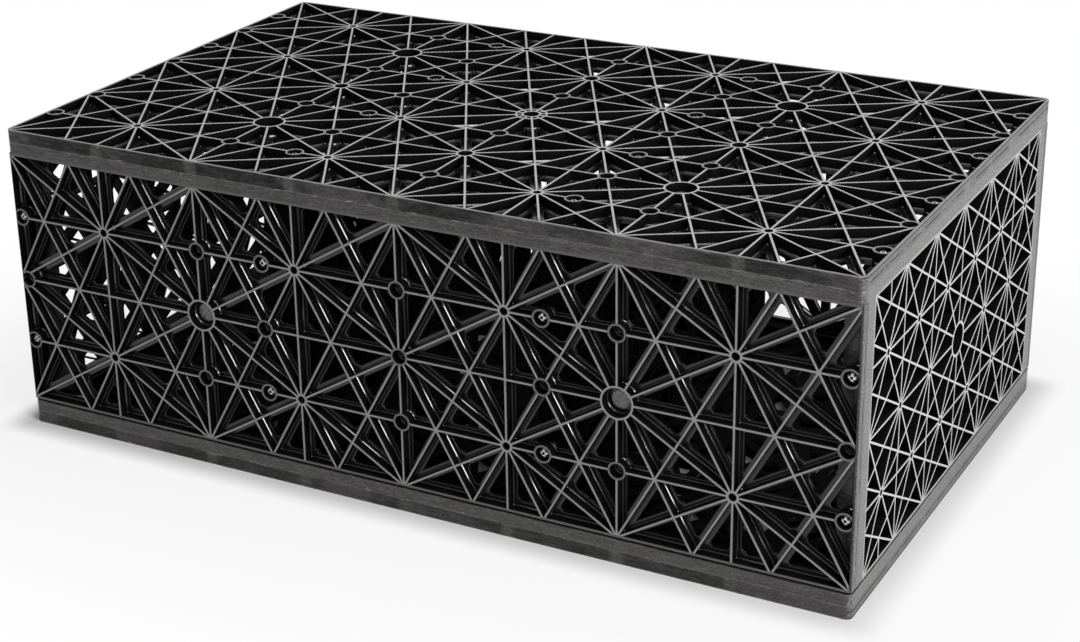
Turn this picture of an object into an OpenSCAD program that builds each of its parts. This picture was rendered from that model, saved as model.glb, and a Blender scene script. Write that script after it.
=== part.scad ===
// Soakaway crate: eight moulded plates that peg together into an open box.
// The length runs along X, the width along Y and the height along Z.
// The origin is under the middle of the bottom plate, and the front is at -Y.

/* [Crate] */
// Length of the crate
crate_l = 685; // [620:1:830]
// Width of the crate
crate_w = 408; // [340:1:500]
// Height of the crate
crate_h = 244; // [200:1:300]

/* [Plate sections] */
// Depth of the top and bottom plates, over their rims
panel_d = 18.5; // [17:0.5:24]
// Depth of the side, end and inner plates, over their rims
wall_d = 20; // [17:0.5:26]
// Depth of the lattice, from the outer face of its plate
lattice_d = 11; // [9:0.5:13]
// Thickness of the webs
web_t = 1.6; // [1.3:0.1:2.8]
// Thickness of the rim walls
rim_t = 1.8; // [1.6:0.1:3.2]
// Thickness of the flanges on the inner edges of the webs
flange_t = 2.8; // [2:0.2:4]
// Width of the flanges of the long plates
flange_w = 8; // [5:0.5:9]
// Width of the flanges on the level webs of the long plates
level_flange_w = 6.6; // [5:0.2:9]
// Length cut off the corners of the openings between flanges
corner_cut = 3.5; // [0.5:0.5:5]
// Radius of the upright corners of the top and bottom plates
corner_r = 5; // [1:0.5:9]
// Radius of the upright outer edges of the side plates
edge_r = 3; // [0.5:0.5:5]
// Gap between the upright plates and the rim of the bottom plate
seat_gap = 2; // [0.5:0.5:3]

/* [Bosses] */
// Outer diameter of the large hubs
hub_od = 25.2; // [23.2:0.2:30]
// Bore of the large hubs
hub_bore = 22; // [16:0.5:22]
// Outer diameter of the hub in the middle of an end or inner plate
cross_hub_od = 26.8; // [24.4:0.2:32]
// Bore of that hub
cross_hub_bore = 22.8; // [16:0.2:23.2]
// Diameter of the raised pad on the floor that closes a hub of a side plate
pad_od = 14; // [8:0.5:18]
// Height of that pad above the floor
pad_h = 1.2; // [0.4:0.2:2]
// Outer diameter of the rings
ring_od = 13.8; // [12.6:0.2:15]
// Bore of the rings, above their seat floor
ring_bore = 10.8; // [9:0.2:11.4]
// Outer diameter of the small bosses where the webs of a star meet
boss_od = 9.6; // [7.8:0.2:12]
// Bore of the small bosses
boss_bore = 5.8; // [3:0.2:6.6]
// Outer diameter of the small bosses of an end or inner plate
cross_boss_od = 7.8; // [6.6:0.2:10]
// Bore of those bosses
cross_boss_bore = 4.8; // [3:0.2:5.4]
// Outer diameter of the inner ring of the centre hub of a panel
centre_od = 15; // [13:0.5:18]
// Bore of that inner ring
centre_bore = 12; // [8:0.5:12]

/* [Pegs] */
// Distance of the peg axes from the outer face of their plate
peg_inset = 7; // [6.8:0.1:8.4]
// Width of a peg across its arms, in the socket
peg_w = 6; // [4:0.2:8]
// Thickness of the arms of a peg
peg_arm_t = 1.8; // [1.2:0.1:2.4]
// Clearance round a peg in its socket
peg_clear = 0.2; // [0.1:0.05:0.4]
// Depth of a peg's tip under the outer face that it comes out towards
tip_depth = 1.5; // [0.5:0.5:4]
// Length of the chamfer on the tip of a peg
tip_taper = 1.2; // [0.4:0.2:2]

/* [Hidden] */
$fn = 64;
eps = 0.01;

// Lattice cells of each kind of plate, along and across
long_cols = 8;
side_rows = 4;
panel_rows = 8;
cross_cols = 12;
cross_rows = 4;

// Derived sizes
web_d = lattice_d - flange_t;
wall_z = panel_d + seat_gap;
wall_h = crate_h - wall_z - panel_d;
cross_w = crate_w - 2 * wall_d;
col_pitch = crate_l / long_cols;
side_pitch = wall_h / side_rows;
panel_pitch = crate_w / panel_rows;
cross_pitch = cross_w / cross_cols;
end_peg_x = crate_l / 2 - peg_inset;
socket = peg_w + 2 * peg_clear;
peg_root_d = 2 * (peg_inset - rim_t - peg_clear);

// The inner plates stand where steep diagonals meet the level webs
inner_peg_x = (1 + 1 / 3) * col_pitch;

// Corners of the openings between flanges that are sharper than these angles stay uncut
panel_sharpest = 75;
side_sharpest = 45;
// The largest share of an edge that a cut corner takes
corner_share = 0.35;

// The six openings of one lattice cell whose stars are at its corners [0, 0] and [1, 1]
STEEP = [
    [[0, 0], [1 / 3, 1], [0, 1]],
    [[0, 0], [1 / 2, 1 / 2], [1 / 3, 1]],
    [[1 / 3, 1], [1 / 2, 1 / 2], [1, 1]],
    [[0, 0], [2 / 3, 0], [1 / 2, 1 / 2]],
    [[2 / 3, 0], [1, 1], [1 / 2, 1 / 2]],
    [[2 / 3, 0], [1, 0], [1, 1]]
];

// The openings in the left half of a pair of cells with its stars at [0, 0], [1, 1] and [2, 0]
SHALLOW_HALF = [
    [[0, 0], [1, 1 / 3], [1 / 2, 1 / 2]],
    [[0, 0], [1 / 2, 1 / 2], [0, 2 / 3]],
    [[0, 2 / 3], [1 / 2, 1 / 2], [1, 1]],
    [[0, 2 / 3], [1, 1], [0, 1]]
];
KITE = [[1, 1 / 3], [3 / 2, 1 / 2], [1, 1], [1 / 2, 1 / 2]];
BASE = [[0, 0], [2, 0], [1, 1 / 3]];
BASE_HALF = [[0, 0], [1, 0], [1, 1 / 3]];

function cross_z(a, b) = a[0] * b[1] - a[1] * b[0];
function turned(d) = [-d[1], d[0]];
function flip_u(p, width) = [for (q = p) [width - q[0], q[1]]];
function flip_v(p) = [for (q = p) [q[0], 1 - q[1]]];
function winding(p) = cross_z(p[1] - p[0], p[2] - p[1]);
function anticlockwise(p) = winding(p) > 0 ? p : [for (k = [len(p) - 1:-1:0]) p[k]];

// Openings of a lattice with steep and even diagonals, in cell units
function steep_openings(cols, rows) = [
    for (i = [0:cols - 1], j = [0:rows - 1], t = STEEP)
        let (cell = (i + j) % 2 == 0 ? t : flip_u(t, 1))
            [for (q = cell) q + [i, j]]
];

// The openings of one pair of cells of a lattice with shallow and even diagonals
function pair_openings(posted) = concat(
    SHALLOW_HALF,
    [for (t = SHALLOW_HALF) flip_u(t, 2)],
    [KITE],
    posted ? [BASE_HALF, flip_u(BASE_HALF, 2)] : [BASE]
);

// Openings of a lattice with uprights in every other column only.
// The outermost openings on the lower and upper rims have a short post between them.
function shallow_openings(cols, rows) = [
    for (i = [0:2:cols - 2], j = [0:rows - 1])
        let (outer_pair = i == 0 || i == cols - 2)
            let (outer_row = j == 0 || j == rows - 1)
                for (t = pair_openings(outer_pair && outer_row))
                    [for (q = j % 2 == 0 ? t : flip_v(t)) q + [i, j]]
];

// How far an opening stays clear of the line between two corners of the lattice
function edge_inset(a, b, cols, rows, half, level_half, border) =
    let (on_side = a[0] == b[0] && (a[0] == 0 || a[0] == cols))
    let (on_level = a[1] == b[1] && (a[1] == 0 || a[1] == rows))
        on_side || on_level ? border : (a[1] == b[1] ? level_half : half);

// A corner moved inwards by the insets of the two edges that meet there
function inset_corner(p, before, after, inset_before, inset_after) =
    let (n1 = turned(p - before) / norm(p - before))
    let (n2 = turned(after - p) / norm(after - p))
        p + [n2[1] * inset_before - n1[1] * inset_after,
             n1[0] * inset_after - n2[0] * inset_before] / cross_z(n1, n2);

// A convex opening in millimetres, moved inwards from every edge
function inset_opening(cell, pitch, cols, rows, half, level_half, border) =
    let (c = anticlockwise(cell))
    let (n = len(c))
    let (p = [for (q = c) [(q[0] - cols / 2) * pitch[0], (q[1] - rows / 2) * pitch[1]]])
    let (d = [for (k = [0:n - 1]) edge_inset(c[k], c[(k + 1) % n], cols, rows, half, level_half, border)])
        [for (k = [0:n - 1])
            on_grid(inset_corner(p[k], p[(k + n - 1) % n], p[(k + 1) % n], d[(k + n - 1) % n], d[k]))];

// The angle inside a corner
function corner_angle(p, before, after) =
    acos((before - p) * (after - p) / (norm(before - p) * norm(after - p)));

// The same outline with its corners cut off, apart from those sharper than an angle
function cut_corners(p, cut, sharpest) =
    let (n = len(p))
        [for (k = [0:n - 1])
            let (before = p[(k + n - 1) % n])
            let (after = p[(k + 1) % n])
                for (other = corner_angle(p[k], before, after) < sharpest ? [p[k]] : [before, after])
                    let (edge = other - p[k])
                        on_grid(p[k] + edge * min(corner_share, cut / max(norm(edge), eps)))];

// A point on a grid of hundredths of a millimetre
function on_grid(p) = [for (c = p) round(c * 100) / 100];

module rounded_plate(w, h, r) {
    square([w - 2 * r, h], center = true);
    square([w, h - 2 * r], center = true);
    for (x = [-1, 1], y = [-1, 1])
        translate([x * (w / 2 - r), y * (h / 2 - r)])
            circle(r);
}

module discs(points, d) {
    for (p = points)
        translate(p)
            circle(d = d);
}

// The openings between the webs, and those between the flanges behind them
function web_opening(cell, pitch, cols, rows) =
    inset_opening(cell, pitch, cols, rows, web_t / 2, web_t / 2, rim_t);
function flange_opening(cell, pitch, cols, rows, sharpest) =
    cut_corners(
        inset_opening(cell, pitch, cols, rows, flange_w / 2, level_flange_w / 2, rim_t + (flange_w - web_t) / 2),
        corner_cut, sharpest);

// One layer of a lattice. Its children are the outline, the bosses and the bores.
module lattice_layer(openings) {
    difference() {
        union() {
            difference() {
                children(0);
                for (p = openings)
                    polygon(p);
            }
            intersection() {
                children(0);
                children(1);
            }
        }
        children(2);
    }
}

module tube_section(od, id) {
    difference() {
        circle(d = od);
        circle(d = id);
    }
}

// Places in a long plate, in lattice cells from its corner
function place(cell, pitch, cols, rows) = [(cell[0] - cols / 2) * pitch[0], (cell[1] - rows / 2) * pitch[1]];
function columns(rows, pitch) = [
    for (x = [-end_peg_x, -inner_peg_x, inner_peg_x, end_peg_x], j = [1:rows - 1])
        [x, (j - rows / 2) * pitch]
];

// The plate that closes the crate below. The same moulding, turned over, closes it above.
module panel() {
    pitch = [col_pitch, panel_pitch];
    cells = steep_openings(long_cols, panel_rows);
    hubs = [for (i = [2, 6], j = [2, 6]) place([i, j], pitch, long_cols, panel_rows)];
    stars = [for (i = [1:2:7], j = [1:2:7]) place([i, j], pitch, long_cols, panel_rows)];
    rings = concat(
        [for (i = [2, 4, 6], j = [1:2:7]) place([i, j], pitch, long_cols, panel_rows)],
        [for (c = [[2, 4], [6, 4], [4, 2], [4, 6]]) place(c, pitch, long_cols, panel_rows)],
        columns(panel_rows, panel_pitch)
    );
    module outline() {
        rounded_plate(crate_l, crate_w, corner_r);
    }
    module bosses() {
        discs(hubs, hub_od);
        discs(stars, boss_od);
        discs(rings, ring_od);
        tube_section(hub_od, hub_bore);
        circle(d = centre_od);
    }
    module bores(ring_hole) {
        discs(hubs, hub_bore);
        discs(stars, boss_bore);
        discs(rings, ring_hole);
        circle(d = centre_bore);
    }
    linear_extrude(web_d)
        lattice_layer([for (c = cells) web_opening(c, pitch, long_cols, panel_rows)]) {
            outline();
            bosses();
            bores(ring_bore);
        }
    translate([0, 0, web_d])
        linear_extrude(flange_t)
            lattice_layer([for (c = cells) flange_opening(c, pitch, long_cols, panel_rows, panel_sharpest)]) {
                outline();
                bosses();
                bores(socket);
            }
    translate([0, 0, lattice_d])
        linear_extrude(panel_d - lattice_d)
            difference() {
                outline();
                rounded_plate(crate_l - 2 * rim_t, crate_w - 2 * rim_t, max(0.5, corner_r - rim_t));
            }
}

// A long upright plate, lying on its outer face, with its upright outer edges rounded
module side_plate() {
    intersection() {
        square_side_plate();
        rotate([90, 0, 0])
            linear_extrude(wall_h + 2, center = true) {
                translate([-crate_l / 2, edge_r])
                    square([crate_l, wall_d]);
                translate([-crate_l / 2 + edge_r, 0])
                    square([crate_l - 2 * edge_r, wall_d]);
                for (x = [-1, 1])
                    translate([x * (crate_l / 2 - edge_r), edge_r])
                        circle(r = edge_r);
            }
    }
}

module square_side_plate() {
    pitch = [col_pitch, side_pitch];
    cells = steep_openings(long_cols, side_rows);
    hubs = [for (i = [2, 6]) place([i, 2], pitch, long_cols, side_rows)];
    stars = [for (i = [1:2:7], j = [1, 3]) place([i, j], pitch, long_cols, side_rows)];
    rings = concat(
        [for (i = [2, 4, 6], j = [1, 3]) place([i, j], pitch, long_cols, side_rows)],
        [[0, 0]],
        columns(side_rows, side_pitch)
    );
    module outline() {
        square([crate_l, wall_h], center = true);
    }
    module bosses() {
        discs(hubs, hub_od);
        discs(stars, boss_od);
        discs(rings, ring_od);
    }
    module bores(ring_hole) {
        discs(stars, boss_bore);
        discs(rings, ring_hole);
    }
    linear_extrude(web_d)
        lattice_layer([for (c = cells) web_opening(c, pitch, long_cols, side_rows)]) {
            outline();
            bosses();
            union() {
                bores(ring_bore);
                discs(hubs, hub_bore);
            }
        }
    translate([0, 0, web_d])
        linear_extrude(flange_t)
            lattice_layer([for (c = cells) flange_opening(c, pitch, long_cols, side_rows, side_sharpest)]) {
                outline();
                bosses();
                bores(socket);
            }
    translate([0, 0, lattice_d])
        linear_extrude(wall_d - lattice_d)
            difference() {
                outline();
                square([crate_l - 2 * rim_t, wall_h - 2 * rim_t], center = true);
            }
    for (p = hubs)
        translate([p[0], p[1], web_d - pad_h])
            cylinder(d = pad_od, h = pad_h + flange_t / 2);
}

// An end or inner plate, lying on its outer face, with its pegs
module cross_plate() {
    pitch = [cross_pitch, side_pitch];
    cells = shallow_openings(cross_cols, cross_rows);
    stars = [
        for (i = [1:cross_cols - 1], j = [1:cross_rows - 1])
            if ((i + j) % 2 == 0 && !(i == cross_cols / 2 && j == cross_rows / 2))
                place([i, j], pitch, cross_cols, cross_rows)
    ];
    module outline() {
        square([cross_w, wall_h], center = true);
    }
    module bosses() {
        circle(d = cross_hub_od);
        discs(stars, cross_boss_od);
    }
    module bores() {
        circle(d = cross_hub_bore);
        discs(stars, cross_boss_bore);
    }
    linear_extrude(lattice_d)
        lattice_layer([for (c = cells) web_opening(c, pitch, cross_cols, cross_rows)]) {
            outline();
            bosses();
            bores();
        }
    translate([0, 0, lattice_d])
        linear_extrude(wall_d - lattice_d)
            difference() {
                outline();
                square([cross_w - 2 * rim_t, wall_h - 2 * rim_t], center = true);
            }
    for (side = [-1, 1], j = [1, 3])
        translate([side * cross_w / 2, (j - cross_rows / 2) * side_pitch, peg_inset])
            rotate([0, side * 90, 0])
                peg(wall_d - lattice_d, wall_d - tip_depth);
    for (j = [1:2:panel_rows - 1]) {
        translate([(j - panel_rows / 2) * panel_pitch, wall_h / 2, peg_inset])
            rotate([-90, 0, 0])
                peg(panel_d - lattice_d, panel_d - tip_depth);
        translate([(j - panel_rows / 2) * panel_pitch, -wall_h / 2, peg_inset])
            rotate([90, 0, 0])
                peg(wall_z - lattice_d, wall_z - tip_depth);
    }
}

module peg_section() {
    square([peg_w, peg_arm_t], center = true);
    square([peg_arm_t, peg_w], center = true);
}

// A cruciform peg on a round root that stands on a rim wall and seats on the socket
module peg(root, reach) {
    sunk = rim_t / 2;
    translate([0, 0, -sunk])
        cylinder(d = peg_root_d, h = root + sunk);
    intersection() {
        linear_extrude(reach)
            peg_section();
        union() {
            cylinder(d = peg_w + 1, h = reach - tip_taper);
            translate([0, 0, reach - tip_taper])
                cylinder(d1 = peg_w, d2 = peg_w - 2 * tip_taper, h = tip_taper);
        }
    }
}

module bottom_plate() {
    color([0.16, 0.16, 0.17])
        panel();
}

module top_plate() {
    color([0.2, 0.2, 0.21])
        translate([0, 0, crate_h])
            rotate([180, 0, 0])
                panel();
}

module front_side_plate() {
    color([0.17, 0.17, 0.18])
        rotate([0, 0, 180])
            upright_side_plate();
}

module rear_side_plate() {
    color([0.17, 0.17, 0.18])
        upright_side_plate();
}

module upright_side_plate() {
    translate([0, crate_w / 2, wall_z + wall_h / 2])
        rotate([90, 0, 0])
            side_plate();
}

module left_cross_plate(outer_x) {
    translate([outer_x, 0, wall_z + wall_h / 2])
        rotate([90, 0, 90])
            cross_plate();
}

module left_end_plate() {
    color([0.22, 0.22, 0.23])
        left_cross_plate(-crate_l / 2);
}

module left_inner_plate() {
    color([0.14, 0.14, 0.16])
        left_cross_plate(-inner_peg_x - peg_inset);
}

module right_inner_plate() {
    color([0.14, 0.14, 0.16])
        rotate([0, 0, 180])
            left_cross_plate(-inner_peg_x - peg_inset);
}

module right_end_plate() {
    color([0.22, 0.22, 0.23])
        rotate([0, 0, 180])
            left_cross_plate(-crate_l / 2);
}

bottom_plate();
top_plate();
front_side_plate();
rear_side_plate();
left_end_plate();
left_inner_plate();
right_inner_plate();
right_end_plate();
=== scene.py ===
"""A soakaway crate of eight pegged plates of black recycled plastic, on a pale floor.

Lengths are in metres. The crate's length runs along X, its width along Y and its height along Z.
"""
import math

import bpy
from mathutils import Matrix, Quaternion, Vector


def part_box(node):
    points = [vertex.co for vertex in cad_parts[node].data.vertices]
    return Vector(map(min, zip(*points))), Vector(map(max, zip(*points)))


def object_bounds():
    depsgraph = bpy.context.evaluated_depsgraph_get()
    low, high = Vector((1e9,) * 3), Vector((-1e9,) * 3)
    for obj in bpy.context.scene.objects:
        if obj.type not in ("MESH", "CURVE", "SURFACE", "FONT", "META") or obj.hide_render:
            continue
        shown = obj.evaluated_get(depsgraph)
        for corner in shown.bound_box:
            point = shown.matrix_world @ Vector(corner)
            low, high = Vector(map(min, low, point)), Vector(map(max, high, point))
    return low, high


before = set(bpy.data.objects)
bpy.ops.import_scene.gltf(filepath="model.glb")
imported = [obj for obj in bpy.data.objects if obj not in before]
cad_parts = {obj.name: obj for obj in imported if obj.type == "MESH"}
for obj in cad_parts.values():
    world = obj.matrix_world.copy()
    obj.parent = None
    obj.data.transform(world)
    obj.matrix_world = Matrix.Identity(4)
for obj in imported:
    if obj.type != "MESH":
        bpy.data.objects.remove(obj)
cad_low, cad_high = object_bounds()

MM = 0.001

# The crate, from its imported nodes
LENGTH = cad_high.x - cad_low.x
WIDTH = cad_high.y - cad_low.y
HEIGHT = cad_high.z
WALL_LOW, WALL_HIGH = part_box("front_side_plate")
WALL_MIDDLE = (WALL_LOW.z + WALL_HIGH.z) / 2
WALL_HALF = (WALL_HIGH.z - WALL_LOW.z) / 2
CROSS_HALF = -WALL_HIGH.y
INNER_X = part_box("right_inner_plate")[1].x

# The lattice: webs meet in columns along the length, and in rows across and up
COLUMNS, ROWS_ACROSS, ROWS_UP = 8, 8, 4
COLUMN_PITCH = LENGTH / COLUMNS
ACROSS_PITCH = WIDTH / ROWS_ACROSS
ROW_PITCH = 2 * WALL_HALF / ROWS_UP
INNER_PEG_X = (1 + 1 / 3) * COLUMN_PITCH
PEG_INSET = 7 * MM
END_PEG_X = LENGTH / 2 - PEG_INSET
RING_RADIUS = 6.9 * MM
PAD_RADIUS = 7 * MM

# The camera, fitted to the lattice nodes of the photograph
CAMERA_AT = Vector((0.7606, -1.41681, 0.76156))
CAMERA_LOOKS_AT = Vector((-0.02715, 0.00582, 0.08839))
CAMERA_ROLL = math.radians(-1.14)
SENSOR_MM = 36
LENS_MM = 73.675
SHIFT_X, SHIFT_Y = 0.0301, -0.0250
NEAREST, FARTHEST = 0.05, 100

# The floor, and how its white fades into the shade around and under the crate
FLOOR_HALF = 15.0
SHADE_FADE = 0.03
SHADE_REACH = 0.32
WHITE_AT_CRATE = 0.83
ROOM_LIGHT = 0.18


def grey(level):
    return (level, level, level, 1)


# Shades of the black plastic, as linear values, painted light and shade among them
# Painted shade: the near black of the matt plastic in the lattice's recesses, which also darkens
# the rims' real stains and pits
MATT_SHADE_AND_STAIN = grey(0.0015)
# Painted shade on the walls of the webs and of the flanges, under their outer faces
WEB_WALL_SHADE = grey(0.006)
FLANGE_WALL_SHADE = grey(0.007)
# Painted highlight along the flanges' rounded edges
FLANGE_EDGE_HIGHLIGHT = grey(0.05)
# Painted highlight on the arms of the pegs' tips, deep in their sockets
PEG_TIP_HIGHLIGHT = grey(0.8)
# Painted light: the hub pads are painted pale as lit faces, over a real rough texture
LIT_HUB_PAD = grey(0.16)
RIM_GREEN = (0.042, 0.043, 0.036, 1)
RIM_PURPLE = (0.041, 0.032, 0.036, 1)
# Painted light: paler, lit copies of the rims and of the upright posts' rims for the faces over the
# crate's ends
LIT_RIM_OVER_ENDS = grey(0.095)
LIT_UPRIGHT_OVER_ENDS = grey(0.082)
STAIN = grey(0.004)
STREAK = grey(0.10)
PARTING_LINE = grey(0.16)
# Painted highlight along the rim's rounded outer edge
LIP_HIGHLIGHT = grey(0.12)
SPECK = grey(0.17)
# The specks are real; their paler copy on the faces over the ends is painted light
LIT_SPECK_OVER_ENDS = grey(0.42)
PIT = grey(0.008)
SCRATCH = grey(0.30)

# How far the outer face of a web darkens at its rounded edges and within a ring, as painted shade
EDGE_SHADE = 0.1
RING_SHADE = 0.4

# Depths under the outer face of a plate, with the half widths of lines at some of them
EDGE_DEPTH = 0.2 * MM
LIP_DEPTH = 1.0 * MM
GROOVE_DEPTH, GROOVE_WIDTH = 0.7 * MM, 0.7 * MM
TIP_DEPTH = 4 * MM
NICKED_DEPTH = 4 * MM
BROKEN_GROOVE_DEPTH, BROKEN_GROOVE_WIDTH = 5.5 * MM, 0.8 * MM
FLANGE_DEPTH = 8.2 * MM
PARTING_DEPTH, PARTING_WIDTH = 9.8 * MM, 0.6 * MM
FLANGE_BACK = 11 * MM

# Widths and radii on the surface
RIM_WIDTH = 1.8 * MM
SINK_WIDTH = 7 * MM
NICKED_WIDTH = 2.5 * MM
EDGE_RADIUS = 0.7 * MM
FILLET = 1.2 * MM
FILLET_START = FLANGE_DEPTH - FILLET
FILLET_SLOPE = 0.75

# Heights of the marks, for the bump
FINE_HEIGHT = 0.012 * MM
DRAWN_HEIGHT = 0.03 * MM
PARTING_HEIGHT = 0.10 * MM

# The roughness of the satin plastic's gloss, and the roughness and specular of the matt plastic
GLOSS_ROUGHNESS = 0.06
MATT_ROUGHNESS = 0.75
MATT_SPECULAR = 0.06

# The Mix node has three sockets called A, three called B and three results. These are for colours.
COLOUR_A, COLOUR_B, COLOUR_RESULT = 6, 7, 2


class Value:
    """A socket of a node tree that Python's operators can work on."""

    def __init__(self, nodes, socket):
        self.nodes = nodes
        self.socket = socket

    def math(self, operation, *values):
        return self.nodes.add("ShaderNodeMath", {"operation": operation}, dict(enumerate(values)))

    def __add__(self, other):
        return self.math("ADD", self, other)

    __radd__ = __add__

    def __mul__(self, other):
        return self.math("MULTIPLY", self, other)

    __rmul__ = __mul__

    def __sub__(self, other):
        return self.math("SUBTRACT", self, other)

    def __rsub__(self, other):
        return self.math("SUBTRACT", other, self)

    def __abs__(self):
        return self.math("ABSOLUTE", self)

    def at_most(self, other):
        return self.math("MINIMUM", self, other)

    def at_least(self, other):
        return self.math("MAXIMUM", self, other)

    def hypot(self, other):
        return self.math("SQRT", self * self + other * other)

    def wrapped(self, period):
        """The distance from the nearest multiple of a period."""
        return self.math("PINGPONG", self, period / 2)

    def ramp(self, start, end):
        """0 at start, 1 at end, with a soft step between them. start may be the larger."""
        return self.nodes.add(
            "ShaderNodeMapRange",
            {"interpolation_type": "SMOOTHSTEP"},
            {"Value": self, "From Min": start, "From Max": end},
        )

    def off(self, other):
        """How far it is from another value."""
        return abs(self - other)

    def line(self, middle, half_width):
        """1 on a thin line where the value is middle, and 0 past half_width from it."""
        return self.off(middle).ramp(half_width, 0.25 * half_width)


class Nodes:
    """A node tree that is written as expressions."""

    def __init__(self, tree):
        self.tree = tree
        tree.nodes.clear()

    def add(self, kind, settings=None, sockets=None, output=0):
        node = self.tree.nodes.new(kind)
        for name, value in (settings or {}).items():
            setattr(node, name, value)
        for name, value in (sockets or {}).items():
            if isinstance(value, Value):
                self.tree.links.new(value.socket, node.inputs[name])
            else:
                node.inputs[name].default_value = value
        return Value(self, node.outputs[output]) if node.outputs else None

    def parts(self, vector):
        """The X, Y and Z of a vector."""
        first = self.add("ShaderNodeSeparateXYZ", None, {"Vector": vector})
        return [Value(self, socket) for socket in first.socket.node.outputs]

    def mixed(self, first, second, share):
        """Two colours, mixed by a share of the second."""
        return self.add(
            "ShaderNodeMix",
            {"data_type": "RGBA"},
            {"Factor": share, COLOUR_A: first, COLOUR_B: second},
            output=COLOUR_RESULT,
        )


class Finish(Nodes):
    """A procedural material with the place and the facing of each point of the surface."""

    def __init__(self, name):
        self.material = bpy.data.materials.new(name)
        self.material.use_nodes = True
        super().__init__(self.material.node_tree)
        self.place = self.add("ShaderNodeTexCoord", output="Object")
        self.facing = self.add("ShaderNodeNewGeometry", output="True Normal")
        self.x, self.y, self.z = self.parts(self.place)

    def noise(self, scale, stretch=(1, 1, 1), detail=3.0, roughness=0.5, move=(0, 0, 0)):
        """Soft noise from 0 to 1. scale is in cells a metre, and stretch changes it by axis."""
        place = self.add(
            "ShaderNodeMapping", None, {"Vector": self.place, "Scale": stretch, "Location": move}
        )
        return self.add(
            "ShaderNodeTexNoise",
            None,
            {"Vector": place, "Scale": scale, "Detail": detail, "Roughness": roughness},
        )

    def rounding(self, radius):
        """The facing with the edges and the inner corners rounded."""
        return self.add("ShaderNodeBevel", {"samples": 4}, {"Radius": radius})

    def edges(self, rounded):
        """1 where that rounding turns the surface. The turn is told by its cosine."""
        turned = self.add(
            "ShaderNodeVectorMath",
            {"operation": "DOT_PRODUCT"},
            {0: rounded, 1: self.facing},
            output="Value",
        )
        return turned.ramp(0.99, 0.82)

    def shade(self, colour, roughness, rounded, height, polish, matt_shade_and_stains):
        """Ends the tree in a satin plastic whose surface follows height over its rounding.

        polish is how much of it has a sharp gloss. The last argument is the share of a matt
        near-black plastic, which is painted shade in the recesses and also darkens the real stains
        and pits.
        """
        bump = self.add(
            "ShaderNodeBump",
            None,
            {"Strength": 1.0, "Distance": 1.0, "Height": height, "Normal": rounded},
        )
        satin = self.add(
            "ShaderNodeBsdfPrincipled",
            None,
            {
                "Base Color": colour,
                "Roughness": roughness,
                "Normal": bump,
                "Coat Weight": polish,
                "Coat Roughness": GLOSS_ROUGHNESS,
                "Coat Normal": bump,
            },
        )
        # The matt plastic: near black with little gloss, painted shade for the recesses, and also
        # the look of the real stains and pits
        matt = self.add(
            "ShaderNodeBsdfPrincipled",
            None,
            {
                "Base Color": MATT_SHADE_AND_STAIN,
                "Roughness": MATT_ROUGHNESS,
                "Specular IOR Level": MATT_SPECULAR,
                "Normal": bump,
            },
        )
        surface = self.add("ShaderNodeMixShader", None, {0: matt_shade_and_stains, 1: satin, 2: matt})
        self.add("ShaderNodeOutputMaterial", None, {"Surface": surface})
        return self.material


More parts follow.
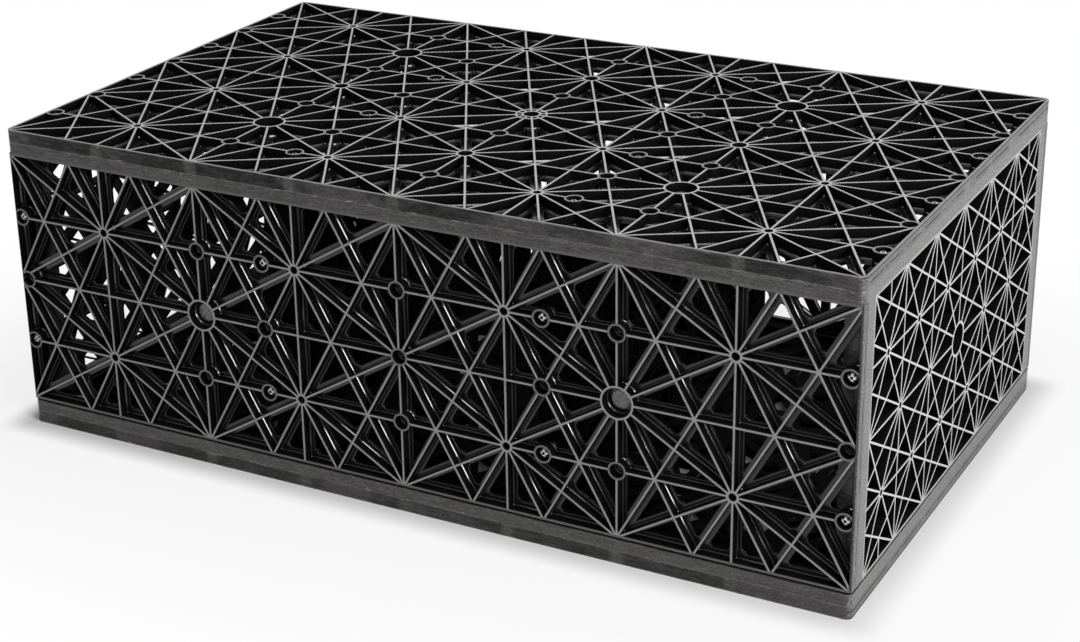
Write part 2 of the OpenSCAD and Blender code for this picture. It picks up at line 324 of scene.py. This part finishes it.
class Plastic(Finish):
    """The black plastic of one kind of plate.

    depth is how far a point lies under the outer face of its plate, and across is how far it lies
    inside the plate's outline. The masks and noises here are the ones that several marks share.
    """

    def __init__(self, name, depth_of, across_of, upright):
        super().__init__(name)
        self.upright = upright
        self.depth = depth_of(self)
        self.across = across_of(self)
        self.on_end = abs(self.parts(self.facing)[0]).ramp(0.3, 0.7)
        self.in_rim = self.across.ramp(RIM_WIDTH, 0.8 * RIM_WIDTH)
        self.outer = self.depth.ramp(EDGE_DEPTH, 0.5 * EDGE_DEPTH)
        self.outer_band = self.depth.ramp(PARTING_DEPTH, PARTING_DEPTH - 0.4 * MM)
        self.parting = self.depth.line(PARTING_DEPTH, PARTING_WIDTH)
        self.rounded = self.rounding(EDGE_RADIUS)
        self.broad = self.noise(14, detail=4)
        self.patchy = self.noise(60, detail=4, move=(3, 1, 2))
        self.fine = self.noise(1100, detail=2)
        self.drawn = self.noise(1, (1400, 1400, 12) if upright else (25, 25, 1400), detail=3)
        self.grain = self.noise(450, (1, 1, 2), detail=4, roughness=0.8, move=(1, 4, 2))
        self.pits = self.grain.ramp(0.48, 0.34)
        self.sinks = self.sink_marks()

    def sink_marks(self):
        """1 where a web meets the rim behind it, and the wall has drawn in a little."""
        columns = self.x.wrapped(COLUMN_PITCH)
        rows = self.y.wrapped(ACROSS_PITCH)
        beside = columns + (rows - columns) * self.on_end
        return beside.ramp(SINK_WIDTH, 0.4 * SINK_WIDTH)

    def before_back(self):
        """1 as far down as the flanges' backs."""
        return self.depth.ramp(FLANGE_BACK - 0.1 * MM, FLANGE_BACK - 0.5 * MM)

    def flanges(self):
        """1 on the walls of the flanges."""
        below_webs = self.depth.ramp(FILLET_START - 0.1 * MM, FILLET_START + 0.1 * MM)
        return below_webs * self.before_back() * (1 - self.in_rim)

    def web_colour(self, edge, border, flanges, rings):
        """Outer faces with painted shade at their edges, over walls painted near black as shade."""
        edges = self.edges(self.rounded)
        border_share = self.across.ramp(RIM_WIDTH + 0.3 * MM, RIM_WIDTH - 0.1 * MM)
        faces = self.mixed(grey(edge), grey(border), border_share)
        # Painted shade where the outer face rounds off at its edges, and on the rings
        faces = self.mixed(faces, grey(EDGE_SHADE * edge), 0.95 * edges * (1 - border_share))
        if rings:
            faces = self.mixed(faces, grey(RING_SHADE * edge), rings(self))
        # Painted shade on the walls under the outer faces, with a painted highlight on the flanges'
        # rounded edges
        walls = self.mixed(WEB_WALL_SHADE, FLANGE_WALL_SHADE, flanges)
        walls = self.mixed(walls, FLANGE_EDGE_HIGHLIGHT, flanges * edges)
        return self.mixed(walls, faces, (self.outer * (0.75 + 0.5 * self.patchy)).at_most(1.0))

    def mottling(self):
        """How dark the rim's clouds and the stains between its sink marks are."""
        clouds = self.noise(1, (120, 120, 420), detail=5, roughness=0.7, move=(5, 2, 7))
        between = self.broad.ramp(0.38, 0.55) * self.outer_band * (1 - self.sinks)
        # The stains fade on the faces over the ends, which are painted as lit
        return (0.40 * clouds.ramp(0.35, 0.65) + 0.60 * between) * (1 - 0.8 * self.on_end)

    def nicks(self):
        """Short scratches, most of them near the parting line and the outer edge."""
        marks = self.noise(420, (0.25, 0.25, 1.6), detail=2).ramp(0.66, 0.728)
        at_line = self.depth.line(PARTING_DEPTH, NICKED_WIDTH)
        at_edge = self.depth.ramp(NICKED_DEPTH, LIP_DEPTH)
        return marks * (at_line + 0.6 * at_edge)

    def rim_colour(self, wall, mottling):
        """A greenish and purplish black with moulding marks, grain, nicks and painted light."""
        # Painted light: the faces over the ends take paler, lit copies of the rim
        if self.upright:
            rim = self.mixed(grey(wall), LIT_UPRIGHT_OVER_ENDS, self.on_end)
        else:
            green = (self.broad.ramp(0.35, 0.65) + 0.6 * self.sinks).at_most(1.0)
            rim = self.mixed(RIM_PURPLE, RIM_GREEN, green)
            rim = self.mixed(rim, LIT_RIM_OVER_ENDS, 0.6 * self.on_end)
        rim = self.mixed(rim, STAIN, mottling)
        rim = self.mixed(rim, STREAK, 0.6 * self.drawn.ramp(0.42, 0.75))
        rim = self.mixed(rim, PARTING_LINE, 0.6 * self.parting * self.patchy.ramp(0.3, 0.6))
        # Painted highlight along the rim's outer edge, off the faces over the ends
        on_lip_highlight = self.depth.ramp(LIP_DEPTH, 0.4 * LIP_DEPTH) * (1 - self.on_end)
        rim = self.mixed(rim, LIP_HIGHLIGHT, on_lip_highlight)
        # Real specks, paler on the faces over the ends as painted light
        specks = self.mixed(SPECK, LIT_SPECK_OVER_ENDS, self.on_end)
        rim = self.mixed(rim, specks, 0.45 * self.grain.ramp(0.52, 0.68))
        rim = self.mixed(rim, PIT, 0.6 * self.pits)
        return self.mixed(rim, SCRATCH, 0.8 * self.nicks())

    def rim_dullness(self, mottling):
        """How matt the rim is: in stains and pits, and as painted shade in lines over the ends."""
        broken = self.depth.line(BROKEN_GROOVE_DEPTH, BROKEN_GROOVE_WIDTH)
        broken = broken * self.patchy.ramp(0.38, 0.48)
        # Painted shade: dark matt lines on the faces over the ends, where the rim steps in
        groove_shade = (self.depth.line(GROOVE_DEPTH, GROOVE_WIDTH) + broken) * self.on_end
        stained = 0.10 * self.outer_band + 0.70 * mottling
        return stained.at_least(0.4 * self.pits).at_least(0.9 * groove_shade)

    def relief(self, on_rim, flanged):
        """The height of the surface's marks, and of the slope at the foot of the webs."""
        drawn = DRAWN_HEIGHT * self.drawn - PARTING_HEIGHT * self.parting
        height = FINE_HEIGHT * self.fine + drawn * on_rim
        if flanged:
            foot = (self.depth - FILLET_START).at_least(0.0).at_most(FILLET)
            height = height + FILLET_SLOPE * foot * (1 - self.in_rim)
        return height


def long_columns(p):
    """How far a point is along the length from the columns of pegs."""
    return abs(p.x).off(INNER_PEG_X).at_most(abs(p.x).off(END_PEG_X))


def even_columns(p):
    """How far a point is along the length from every second column of the lattice."""
    return p.x.wrapped(2 * COLUMN_PITCH)


def odd_rows(p):
    """How far a point is across from the first, third and further odd rows from the middle."""
    return (p.y + ACROSS_PITCH).wrapped(2 * ACROSS_PITCH)


def wall_middle(p):
    """How far a point is above or below the middle of the walls."""
    return p.z.off(WALL_MIDDLE)


def side_rings(p):
    """1 within the rings of a side plate."""
    up = wall_middle(p)
    beside_middle = up.off(ROW_PITCH)
    at_pegs = long_columns(p).hypot(up.at_most(beside_middle))
    rings = even_columns(p).hypot(beside_middle).at_most(at_pegs)
    return rings.at_most(abs(p.x).hypot(up)).ramp(RING_RADIUS + 0.4 * MM, RING_RADIUS)


def side_pads(p):
    """1 on the raised pads in the hubs of a side plate."""
    from_axis = abs(p.x).off(2 * COLUMN_PITCH).hypot(wall_middle(p))
    return from_axis.ramp(PAD_RADIUS + 0.1 * MM, PAD_RADIUS - 0.4 * MM)


def panel_rings(p):
    """1 within the rings of the top or bottom plate."""
    at_pegs = long_columns(p).hypot(p.y.wrapped(ACROSS_PITCH))
    rings = even_columns(p).hypot(odd_rows(p)).at_most(at_pegs)
    return rings.ramp(RING_RADIUS + 0.4 * MM, RING_RADIUS)


def peg_tips(p):
    """1 on the pegs' tips, for a painted highlight, but for their middle, left in painted shade."""
    beside = side_depth(p).ramp(TIP_DEPTH, 0.75 * TIP_DEPTH)
    above = top_depth(p).ramp(TIP_DEPTH, 0.75 * TIP_DEPTH)
    rows = wall_middle(p).off(ROW_PITCH).at_most(odd_rows(p))
    dark_core, arms = 0.8 * MM, 1.5 * MM
    return beside.at_least(above) * long_columns(p).hypot(rows).ramp(dark_core, arms)


def top_depth(p):
    return HEIGHT - p.z


def bottom_depth(p):
    return p.z


def side_depth(p):
    return WIDTH / 2 - abs(p.y)


def end_depth(p):
    return LENGTH / 2 - abs(p.x)


def inner_depth(p):
    return INNER_X - abs(p.x)


def panel_across(p):
    return end_depth(p).at_most(side_depth(p))


def side_across(p):
    return end_depth(p).at_most(WALL_HALF - wall_middle(p))


def cross_across(p):
    return (CROSS_HALF - abs(p.y)).at_most(WALL_HALF - wall_middle(p))


def make_plastic(
    name,
    depth_of,
    across_of,
    edge,
    border,
    upright=False,
    flanged=True,
    inside=False,
    wall=0.014,
    stains=1.0,
    tips=None,
    rings=None,
    pads=None,
):
    """One plate's plastic: walls in painted near-black shade, paler faces, and a rim with moulding
    marks.

    edge and border are the shades of the outer faces of its webs and of its rim, and wall is the
    shade of an upright plate's rim along the crate. These are painted light and shade: each plate
    takes a lighter or darker copy of one plastic by how the lamps fall on it. A flanged plate has
    flanges on the inner edges of its webs, and an inside plate is matt on its faces too, painted
    near black as shade. stains is how strong the dark patches on its rim are. tips, rings and pads
    give masks of the tips of its pegs, of its rings and of the raised pads in its hubs.
    """
    p = Plastic(name, depth_of, across_of, upright)
    flanges = p.flanges() if flanged else 0.0
    webs = p.web_colour(edge, border, flanges, rings)
    bare = 1 - flanges
    on_rim = p.in_rim * (1 - p.outer)
    polish = flanges * p.depth.ramp(FLANGE_DEPTH, FLANGE_DEPTH - 0.2 * MM)
    if tips:
        # Painted highlight on the pegs' arms, which are kept out of the matt painted shade
        arms = tips(p)
        webs = p.mixed(webs, PEG_TIP_HIGHLIGHT, arms)
        bare = bare * (1 - arms)
        on_rim = on_rim * (1 - arms)
        polish = polish.at_least(arms)
    if pads:
        # Painted light on the raised hub pads, mottled by a real rough texture, and kept out of the
        # painted shade
        raised = pads(p) * (1 - p.outer) * p.before_back()
        rough = p.noise(900, detail=3).ramp(0.40, 0.62)
        webs = p.mixed(webs, LIT_HUB_PAD, raised * (0.15 + 0.85 * rough))
        bare = bare * (1 - raised)

    mottling = stains * p.mottling()
    colour = p.mixed(webs, p.rim_colour(wall, mottling), on_rim)
    roughness = 0.27 + 0.12 * (p.patchy - 0.5) + 0.06 * p.fine - 0.10 * flanges
    # Painted shade: the walls under the outer faces, and the whole of an inside plate, take the
    # matt near-black plastic
    painted_wall_shade = bare if inside else (1 - p.outer) * bare * (1 - p.in_rim)
    matt_shade_and_stains = (p.rim_dullness(mottling) * on_rim).at_least(painted_wall_shade)
    return p.shade(colour, roughness, p.rounded, p.relief(on_rim, flanged), polish, matt_shade_and_stains)


def dress(material, *nodes):
    for node in nodes:
        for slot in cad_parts[node].material_slots:
            slot.material = material


def dress_crate():
    # Each plate's shades are painted light and shade: the top plate and the end plates, with their
    # walls, get lit copies of one plastic, and the bottom and the inner plates get shaded ones
    top = make_plastic("top_plastic", top_depth, panel_across, 0.32, 0.14, rings=panel_rings)
    dress(top, "top_plate")

    bottom = make_plastic("bottom_plastic", bottom_depth, panel_across, 0.06, 0.05, stains=0.7)
    dress(bottom, "bottom_plate")

    side = make_plastic(
        "side_plastic",
        side_depth,
        side_across,
        0.195,
        0.06,
        upright=True,
        rings=side_rings,
        pads=side_pads,
    )
    dress(side, "front_side_plate", "rear_side_plate")

    cross = {"across_of": cross_across, "upright": True, "flanged": False, "tips": peg_tips}
    end = make_plastic("end_plastic", end_depth, edge=0.37, border=0.22, wall=0.06, **cross)
    dress(end, "left_end_plate", "right_end_plate")

    inner = make_plastic(
        "inner_plastic", inner_depth, edge=0.006, border=0.006, inside=True, **cross
    )
    dress(inner, "left_inner_plate", "right_inner_plate")


def new_object(name, mesh):
    thing = bpy.data.objects.new(name, mesh)
    bpy.context.scene.collection.objects.link(thing)
    return thing


def seen_directly(nodes):
    """1 for what the camera sees, straight, in a gloss or through glass."""
    kinds = ("Is Camera Ray", "Is Glossy Ray", "Is Transmission Ray")
    straight, gloss, glass = [nodes.add("ShaderNodeLightPath", output=kind) for kind in kinds]
    return straight.at_least(gloss).at_least(glass)


def make_floor():
    """A pale paper floor. Its white shows less near and under the crate, where the shade stays."""
    mesh = bpy.data.meshes.new("floor")
    corners = [(x * FLOOR_HALF, y * FLOOR_HALF, 0) for x, y in ((-1, -1), (1, -1), (1, 1), (-1, 1))]
    mesh.from_pydata(corners, [], [(0, 1, 2, 3)])
    floor = new_object("floor", mesh)
    paper = Finish("floor_paper")
    pale = paper.add("ShaderNodeBsdfDiffuse", None, {"Color": grey(0.5)})
    white = paper.add("ShaderNodeEmission", None, {"Color": grey(1.0), "Strength": 1.0})
    beyond_x = abs(paper.x) - LENGTH / 2
    beyond_y = abs(paper.y) - WIDTH / 2
    under = beyond_x.ramp(SHADE_FADE, 0.0) * beyond_y.ramp(SHADE_FADE, 0.0)
    far = beyond_x.at_least(0.0).hypot(beyond_y.at_least(0.0)).ramp(0.0, SHADE_REACH)
    share = (WHITE_AT_CRATE + (1 - WHITE_AT_CRATE) * far) * seen_directly(paper) * (1 - under)
    surface = paper.add("ShaderNodeMixShader", None, {0: share, 1: pale, 2: white})
    paper.add("ShaderNodeOutputMaterial", None, {"Surface": surface})
    mesh.materials.append(paper.material)


def make_world():
    world = bpy.data.worlds.new("studio")
    bpy.context.scene.world = world
    world.use_nodes = True
    nodes = Nodes(world.node_tree)
    room = nodes.add("ShaderNodeBackground", None, {"Color": grey(1.0), "Strength": ROOM_LIGHT})
    white = nodes.add("ShaderNodeBackground", None, {"Color": grey(1.0), "Strength": 1.0})
    surface = nodes.add("ShaderNodeMixShader", None, {0: seen_directly(nodes), 1: room, 2: white})
    nodes.add("ShaderNodeOutputWorld", None, {"Surface": surface})


def add_softbox(name, at, towards, size, radiance):
    """A soft area light of that radiance, which the camera doesn't see."""
    light = bpy.data.lights.new(name, "AREA")
    light.shape = "RECTANGLE"
    light.size, light.size_y = size
    light.energy = radiance * math.pi * size[0] * size[1]
    lamp = new_object(name, light)
    lamp.visible_camera = False
    lamp.location = at
    lamp.rotation_mode = "QUATERNION"
    lamp.rotation_quaternion = (Vector(towards) - Vector(at)).to_track_quat("-Z", "Y")


def make_lights():
    add_softbox("right_softbox", (2.1, -0.79, 0.96), (0, 0, 0.12), (1.2, 1.1), radiance=16)
    add_softbox("back_softbox", (1.1, 2.0, 1.1), (0, 0, 0.2), (1.2, 0.7), radiance=5)
    add_softbox("upper_softbox", (0.66, -0.64, 2.1), (0, 0, 0.1), (0.9, 0.9), radiance=9)
    add_softbox("front_softbox", (0.6, -2.3, 1.1), (0.1, 0, 0.1), (1.6, 1.2), radiance=2)


def make_camera():
    data = bpy.data.cameras.new("camera")
    data.sensor_width = SENSOR_MM
    data.lens = LENS_MM
    data.shift_x, data.shift_y = SHIFT_X, SHIFT_Y
    data.clip_start, data.clip_end = NEAREST, FARTHEST
    camera = new_object("camera", data)
    camera.location = CAMERA_AT
    camera.rotation_mode = "QUATERNION"
    aim = (CAMERA_LOOKS_AT - CAMERA_AT).to_track_quat("-Z", "Y")
    camera.rotation_quaternion = aim @ Quaternion((0, 0, 1), CAMERA_ROLL)
    bpy.context.scene.camera = camera


make_camera()
make_world()
make_lights()
make_floor()
dress_crate()
bpy.context.scene.view_settings.view_transform = "Standard"
